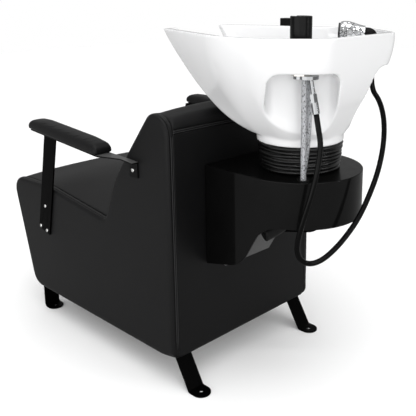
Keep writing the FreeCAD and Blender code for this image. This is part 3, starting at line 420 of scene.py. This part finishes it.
def tube_mesh(name, places, radius, sides):
    """Tube along the points with two attributes for its weave: metres along it and turns round it."""
    ahead = [(b - a).normalized() for a, b in zip(places, places[1:])]
    ahead.append(ahead[-1])
    out = ahead[0].orthogonal().normalized()
    verts, along, around, run = [], [], [], 0.0
    for i, (place, way) in enumerate(zip(places, ahead)):
        out = (out - way * out.dot(way)).normalized()
        over = way.cross(out)
        run += (place - places[i - 1]).length if i else 0.0
        for j in range(sides + 1):
            angle = 2 * math.pi * j / sides
            verts.append(place + (out * math.cos(angle) + over * math.sin(angle)) * radius)
            along.append(run)
            around.append(j / sides)
    row = sides + 1
    faces = [(i * row + j, i * row + j + 1, (i + 1) * row + j + 1, (i + 1) * row + j)
             for i in range(len(places) - 1) for j in range(sides)]
    last = (len(places) - 1) * row
    faces += [tuple(reversed(range(sides))), tuple(range(last, last + sides))]
    mesh = bpy.data.meshes.new(name)
    mesh.from_pydata(verts, [], faces)
    for word, values in (("along", along), ("around", around)):
        mesh.attributes.new(word, "FLOAT", "POINT").data.foreach_set("value", values)
    mesh.shade_smooth()
    return add_object(name, mesh)


def eased(places):
    """The points with the small steps of the cover taken out."""
    for _ in range(ease_rounds):
        between = [(a + b * 2 + c) / 4 for a, b, c in zip(places, places[1:], places[2:])]
        places = [places[0]] + between + [places[-1]]
    return places


def seam_thread(name, rays):
    """Raised line of a seam where the rays from outside meet the cover."""
    met = [skin.ray_cast(Vector(start), Vector(way))[0] for start, way in rays]
    made = tube_mesh(name, eased([place for place in met if place]), thread_radius, thread_sides)
    made.data.materials.append(seam_highlight_leather.material)
    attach(made, "root")


for word, side in (("left", 1), ("right", -1)):
    for row, inset in (("outer", seam_inset + thread_inset), ("inner", seam_inset + seam_width - thread_inset)):
        rays = []
        for step in range(seam_points):
            angle = seam_from + (seam_to - seam_from) * step / (seam_points - 1)
            behind_heart, over_heart = math.cos(angle), math.sin(angle)
            start = (side * (half_width - inset), seam_heart[0] + behind_heart * far_out,
                     seam_heart[1] + over_heart * far_out)
            rays.append((start, (0, -behind_heart, -over_heart)))
        seam_thread(f"{row}_seam_{word}", rays)
for row, rise in (("upper", seam_width / 2 - thread_inset), ("lower", thread_inset - seam_width / 2)):
    reach = half_width - seam_inset - seam_width
    shares = [2 * step / (back_seam_points - 1) - 1 for step in range(back_seam_points)]
    seam_thread(f"{row}_back_seam", [((reach * share, far_out, back_seam_height + rise), (0, -1, 0))
                                     for share in shares])
for cover, finish in ((shell_cover, sewn_leather), (seat_cover, leather), (pad_covers[0], leather),
                      (pad_covers[1], leather)):
    cover.data.materials.append(finish.material)
    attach(cover, "root")


# Arms: flat steel bars in the same black coat, screwed to the sides with bright pan heads.
# Each pad sits on a bent strip, whose upward face is painted a paler grey as a painted highlight from the light
# above.
strip_gloss = Finish("black_gloss_coat", specular_ior_level=0.1)
# Painted highlight: faces of the strip that point up get a paler grey, as if lit from above.
strip_facing = strip_gloss.node("ShaderNodeTexCoord", output="Normal")
painted_top_highlight = strip_gloss.node("ShaderNodeSeparateXYZ", None, {0: strip_facing}, output="Z") > 0.5
strip_highlight_tones = (0.001, 0.001, 0.001, 1), (0.07, 0.07, 0.07, 1)
strip_gloss.feed("Base Color", strip_gloss.mix(painted_top_highlight, *strip_highlight_tones))
strip_gloss.feed("Roughness", strip_gloss.noise(40) * 0.12 + 0.3)
strip_gloss.bump(strip_gloss.noise(800, 2), 0.1, 0.0004)
bar_round = 0.0008
for word in ("left", "right"):
    rounded(f"arm_bar_{word}", bar_round, powder_coat, "root")
    rounded(f"arm_strip_{word}", bar_round, strip_gloss, "root")
bright_steel = Finish("bright_steel", metallic=1.0, base_color=(0.78, 0.78, 0.77, 1))
bright_steel.feed("Roughness", bright_steel.noise(300) * 0.14 + 0.14)
dress(bright_steel, "arm_screws")


# Bracket: rolled and pressed steel in satin black, bolted through the back of the chair.
# Its top rim is dressed to a round that catches the light; a rubber grommet lines the hose hole.
satin_black = Finish("satin_black_paint", specular_ior_level=0.03, coat_roughness=0.06)
satin_tones = (0.0016, 0.0016, 0.0016, 1), (0.0028, 0.0028, 0.0028, 1)
satin_black.feed("Base Color", satin_black.mix(satin_black.noise(12), *satin_tones))
satin_black.feed("Roughness", satin_black.noise(50) * 0.1 + 0.3)
satin_black.feed("Coat Weight", satin_black.noise(20) * 0.06 + 0.16)
satin_black.bump(satin_black.noise(500, 2), 0.06, 0.0005)
sheet_round, rim_round, plate_round = 0.0008, 0.0022, 0.001
rounded("bracket_skirt", sheet_round, satin_black, "root")
rounded("bracket_top_plate", rim_round, satin_black, "root")
# The mount plate gets a mid grey, much lighter than the black bracket round it.
plate_finish = Finish("mid_grey_satin", specular_ior_level=0.3)
plate_tones = (0.085, 0.085, 0.085, 1), (0.11, 0.11, 0.11, 1)
plate_finish.feed("Base Color", plate_finish.mix(plate_finish.noise(15), *plate_tones))
plate_finish.feed("Roughness", plate_finish.noise(50) * 0.12 + 0.35)
rounded("mount_plate", plate_round, plate_finish, "root")
dress(zinc, "bracket_bolts")
rubber = Finish("black_rubber", specular_ior_level=0.12)
rubber.feed("Base Color", rubber.mix(rubber.noise(60), (0.003, 0.003, 0.003, 1), (0.0065, 0.0065, 0.0065, 1)))
rubber.feed("Roughness", rubber.noise(120) * 0.2 + 0.42)
rubber.bump(rubber.noise(700, 2), 0.15, 0.0005)
dress(rubber, "supply_grommet")


# Tilt gear: zinc-plated yoke and plate on two shouldered pins, with nylon washers.
# A rubber bellows hides it between the bracket and the basin; its folds sit unevenly.
dress(zinc, "tilt_yoke", "tilt_plate", "tilt_pins", "tilt_nuts")
nylon = Finish("dark_nylon", specular_ior_level=0.4)
nylon.feed("Base Color", nylon.mix(nylon.noise(80), (0.014, 0.014, 0.015, 1), (0.024, 0.024, 0.025, 1)))
nylon.feed("Roughness", nylon.noise(60) * 0.15 + 0.4)
dress(nylon, "tilt_washers")

fold_rubber = Finish("wiped_rubber", specular_ior_level=0.3)
fold_tones = (0.0012, 0.0012, 0.0012, 1), (0.004, 0.004, 0.004, 1)
fold_rubber.feed("Base Color", fold_rubber.mix(fold_rubber.noise(50), *fold_tones))
fold_rubber.feed("Roughness", fold_rubber.noise(40, 2, (1, 1, 5)) * 0.25 + 0.18)
fold_count, fold_depth, fold_turns, fold_steps, fold_roundness = 7, 0.0062, 96, 12, 0.55
sleeve_wall, sleeve_margin, foot_share, foot_flare, most_waver = 0.002, 0.0006, 0.925, 0.7, 0.0004
waver_waves, lift_waves = ((0.0007, 1, 2.1), (0.0004, 3, 1.3)), ((0.0016, 2, 1.7), (0.0009, 5, 2.9))


def ripple(angle, number, waves):
    """Unevenness of one fold at an angle round it; each wave has a size, a count and a shift per fold."""
    return sum(size * math.sin(count * angle + number * shift) for size, count, shift in waves)


bellows_low, bellows_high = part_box("bellows")
bellows_middle = [(a + b) / 2 for a, b in zip(bellows_low, bellows_high)]
top_radius = (bellows_high[0] - bellows_low[0]) / 2 - sleeve_margin
foot_radius = top_radius * foot_share
rows = fold_count * fold_steps + 1
sleeve_verts = []
for wall in (0.0, sleeve_wall):
    for row in range(rows):
        share = row / (rows - 1)
        fold = share * fold_count
        bulge = abs(math.sin(math.pi * fold)) ** fold_roundness
        number = min(int(fold), fold_count - 1)
        for turn_step in range(fold_turns):
            angle = 2 * math.pi * turn_step / fold_turns
            radius = foot_radius + (top_radius - foot_radius) * share ** foot_flare - fold_depth * (1 - bulge) - wall
            radius += min(ripple(angle, number, waver_waves), most_waver)
            lift = ripple(angle, number, lift_waves) * math.sin(math.pi * share)
            height = bellows_low[2] + (bellows_high[2] - bellows_low[2]) * share + lift
            sleeve_verts.append((bellows_middle[0] + radius * math.cos(angle),
                                 bellows_middle[1] + radius * math.sin(angle), height))
inner = rows * fold_turns
sleeve_faces = []
for row in range(rows - 1):
    for step in range(fold_turns):
        a, b = row * fold_turns + step, row * fold_turns + (step + 1) % fold_turns
        sleeve_faces.append((a, b, b + fold_turns, a + fold_turns))
        sleeve_faces.append((inner + a, inner + a + fold_turns, inner + b + fold_turns, inner + b))
for row in (0, rows - 1):
    for step in range(fold_turns):
        a, b = row * fold_turns + step, row * fold_turns + (step + 1) % fold_turns
        rim = (a, inner + a, inner + b, b)
        sleeve_faces.append(rim if row == 0 else rim[::-1])
sleeve_mesh = bpy.data.meshes.new("bellows_sleeve")
sleeve_mesh.from_pydata(sleeve_verts, [], sleeve_faces)
sleeve_mesh.shade_smooth()
sleeve_mesh.materials.append(fold_rubber.material)
sleeve = add_object("bellows_sleeve", sleeve_mesh)
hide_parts("bellows")
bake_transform(sleeve)


# Basin: glazed white ceramic, softened so that every edge carries a thick glaze radius.
# The waste has a chrome strainer over a rubber gasket, drawn up by a nylon nut.
glaze = Finish("white_glaze", coat_weight=0.2, coat_roughness=0.04, specular_ior_level=0.25)
glaze.feed("Base Color", glaze.mix(glaze.noise(5), (0.80, 0.802, 0.808, 1), (0.825, 0.825, 0.83, 1)))
glaze.feed("Roughness", glaze.noise(14) * 0.06 + 0.1)
glaze.bump(glaze.noise(26, 1), 0.03, 0.002)
basin = softened(["basin"], voxel=0.003, passes=5)
basin.data.materials.append(glaze.material)
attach(basin, "basin")
chrome = Finish("polished_chrome", metallic=1.0, base_color=(0.25, 0.255, 0.26, 1))
chrome.feed("Roughness", chrome.noise(140) * 0.05 + 0.05)
chrome.bump(chrome.noise(220, 1), 0.02, 0.0005)
dress(chrome, "drain_strainer")
dress(rubber, "drain_gasket")
dress(nylon, "drain_nut")


# Tap: black lacquered mixer on the deck, with a knob that turns and a short lever that lifts.
# Its plated shank carries the supply hoses and the outlet for the shower hose.
lacquer = Finish("black_lacquer", coat_weight=0.05, coat_roughness=0.06, specular_ior_level=0.08)
lacquer.feed("Base Color", lacquer.mix(lacquer.noise(20), (0.002, 0.002, 0.002, 1), (0.0035, 0.0035, 0.0035, 1)))
lacquer.feed("Roughness", lacquer.noise(90) * 0.1 + 0.2)
dress(lacquer, "tap_base", "tap_knob", "tap_lever")
nickel = Finish("nickel_plate", metallic=1.0, base_color=(0.62, 0.6, 0.56, 1))
nickel.feed("Roughness", nickel.noise(200, 2, (1, 1, 8)) * 0.15 + 0.22)
dress(nickel, "tap_backnut")
dress(chrome, "tap_shank", "outlet_tube", "lever_pin")


# Hoses: a glossy black shower hose, two steel-braided supply hoses and a rubber waste hose.
# Nuts and a crimped ferrule join the first three to the tap. Each follows the route of its solid,
# in millimetres from the chair's rear face, and a short end of the shower hose rises with the spray.
millimetre, hose_sides, spray_end_foot = 0.001, 24, 0.809
shower_radius, end_radius, supply_radius, waste_radius = 6.5, 6.2, 7, 20
dress(chrome, "hose_nut", "hose_ferrule", "supply_union_hot", "supply_union_cold")


def spline_points(route):
    """Points along the smooth line through a hose's route, given in millimetres behind the chair."""
    line = bpy.data.curves.new("hose_guide", "CURVE")
    line.dimensions = "3D"
    spline = line.splines.new("NURBS")
    spline.points.add(len(route) - 1)
    for point, (x, y, z) in zip(spline.points, route):
        point.co = (x * millimetre, y * millimetre + rear_face, z * millimetre, 1)
    spline.order_u = 3
    spline.use_endpoint_u = True
    spline.resolution_u = 10
    guide = add_object("hose_guide", line)
    bpy.context.view_layer.update()
    places = [vertex.co.copy() for vertex in bpy.data.meshes.new_from_object(guide).vertices]
    bpy.data.objects.remove(guide)
    return places


def hose(node, route, radius, finish, slot, span, **facts):
    """Hose in place of its solid, built as a tube along its route; its slot, span of heights and other facts are not
    used.
    """
    places = spline_points(route)
    made = tube_mesh(f"{node}_tube", places, radius, hose_sides)
    made.data.materials.append(finish.material)
    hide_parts(node)
    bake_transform(made)


shower_finish = Finish("shower_hose_black", base_color=(0.0012, 0.0012, 0.0012, 1), coat_roughness=0.03,
                       specular_ior_level=0.03)
shower_finish.feed("Roughness", shower_finish.noise(60) * 0.14 + 0.16)
shower_finish.feed("Coat Weight", shower_finish.noise(24) * 0.06 + 0.08)
shower_finish.bump(shower_finish.noise(900, 2), 0.06, 0.0006)
shower_route = [
    (117, 328, 779), (118.5, 335, 751.6), (124, 348, 714), (129, 348, 680), (137, 346, 639), (145, 340, 594),
    (153, 329, 548), (160, 320, 506), (163, 313, 466), (153, 315, 433), (130, 326, 418), (104, 342, 424),
    (77, 359, 448), (47, 374, 481), (13, 385, 522), (-21, 388, 568), (-54, 387, 613), (-83, 381, 661),
    (-105, 371, 706), (-116, 360, 746), (-121, 343, 783), (-120, 318, 810), (-120, 318, 847.7)]
end_places = [place for place in spline_points(shower_route) if place.z > spray_end_foot]
spray_end = tube_mesh("shower_hose_end", end_places, end_radius * millimetre, hose_sides)
spray_end.data.materials.append(shower_finish.material)
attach(spray_end, "hand_spray")
hose("shower_hose", shower_route, shower_radius * millimetre, shower_finish, "hose_black", span=(0.78, 0.50),
     far_end="object", stiffness="medium", with_pieces=[nodes["hose_ferrule"], nodes["hose_nut"], spray_end])

braid_finish = Finish("steel_braid", metallic=0.85, roughness=0.34)
strands_along, strands_around = 1150, 44
strand_along = braid_finish.node("ShaderNodeAttribute", {"attribute_name": "along"}, output="Fac") * strands_along
strand_around = braid_finish.node("ShaderNodeAttribute", {"attribute_name": "around"}, output="Fac") * strands_around
weave = (strand_along + strand_around).sine() * (strand_along - strand_around).sine()
flecks = braid_finish.noise(560, 2, (1, 1, 0.3)) > 0.6
braid_finish.feed("Base Color", braid_finish.mix(flecks, (0.56, 0.57, 0.59, 1), (0.02, 0.02, 0.022, 1)))
braid_finish.bump(weave, 0.75, 0.0007)
supply_routes = {
    "hot": [(122, 297, 855.7), (122, 297, 820), (121, 297, 776), (119, 295, 734), (117, 293, 690),
            (112, 289, 648), (103.2, 282.8, 614), (103, 283, 590), (103, 283, 556), (102, 281.5, 524)],
    "cold": [(104, 297, 855.7), (104, 297, 820), (102, 296, 774), (100, 293, 730), (97, 287, 686),
             (94, 278, 644), (92.4, 273, 614), (91.5, 272, 590), (88, 266, 556), (84, 258, 524)]}
for word, route in supply_routes.items():
    hose(f"supply_hose_{word}", route, supply_radius * millimetre, braid_finish, "braid", span=(0.70, 0.612),
         far_end="fitting", stiffness="stiff", with_pieces=[nodes[f"supply_union_{word}"]])

drain_finish = Finish("waste_hose_rubber", base_color=(0.006, 0.006, 0.006, 1), specular_ior_level=0.15)
drain_finish.feed("Roughness", drain_finish.noise(80) * 0.2 + 0.45)
drain_route = [(0, 188, 639.6), (0, 188, 600), (1, 188, 556), (7, 186, 516), (22, 181, 484), (46, 173, 462),
               (72, 163, 448), (98, 152, 440)]
hose("drain_hose", drain_route, waste_radius * millimetre, drain_finish, "rubber", span=(0.63, 0.50),
     far_end="bare", stiffness="stiff")


# Hand spray: chrome head on a black handle, which stands in a lined hole in the deck.
# A chrome tail joins it to the shower hose.
dress(chrome, "spray_tail")
dress(lacquer, "spray_holder", "spray_handle")
dress(nickel, "spray_backnut")
dress(nylon, "spray_face")
faceted = Finish("faceted_chrome", metallic=1.0)
# Painted reflection: dark lines at the facet edges of the chrome head stand in for the dark reflections between its
# facets.
facet_scale, reflection_line_width = 95.0, 0.055
facet_reflection_mask = faceted.node("ShaderNodeTexVoronoi", {"feature": "DISTANCE_TO_EDGE"},
                           {"Vector": faceted.place(), "Scale": facet_scale}) > reflection_line_width
faceted.feed("Base Color", faceted.mix(facet_reflection_mask, (0.06, 0.06, 0.06, 1), (0.72, 0.73, 0.74, 1)))
facets = faceted.node("ShaderNodeTexVoronoi", {"feature": "F1"},
                      {"Vector": faceted.place(), "Scale": facet_scale})
faceted.feed("Roughness", faceted.noise(140) * 0.05 + 0.05)
faceted.bump(facets, 0.5, 0.004)
dress(faceted, "spray_head")
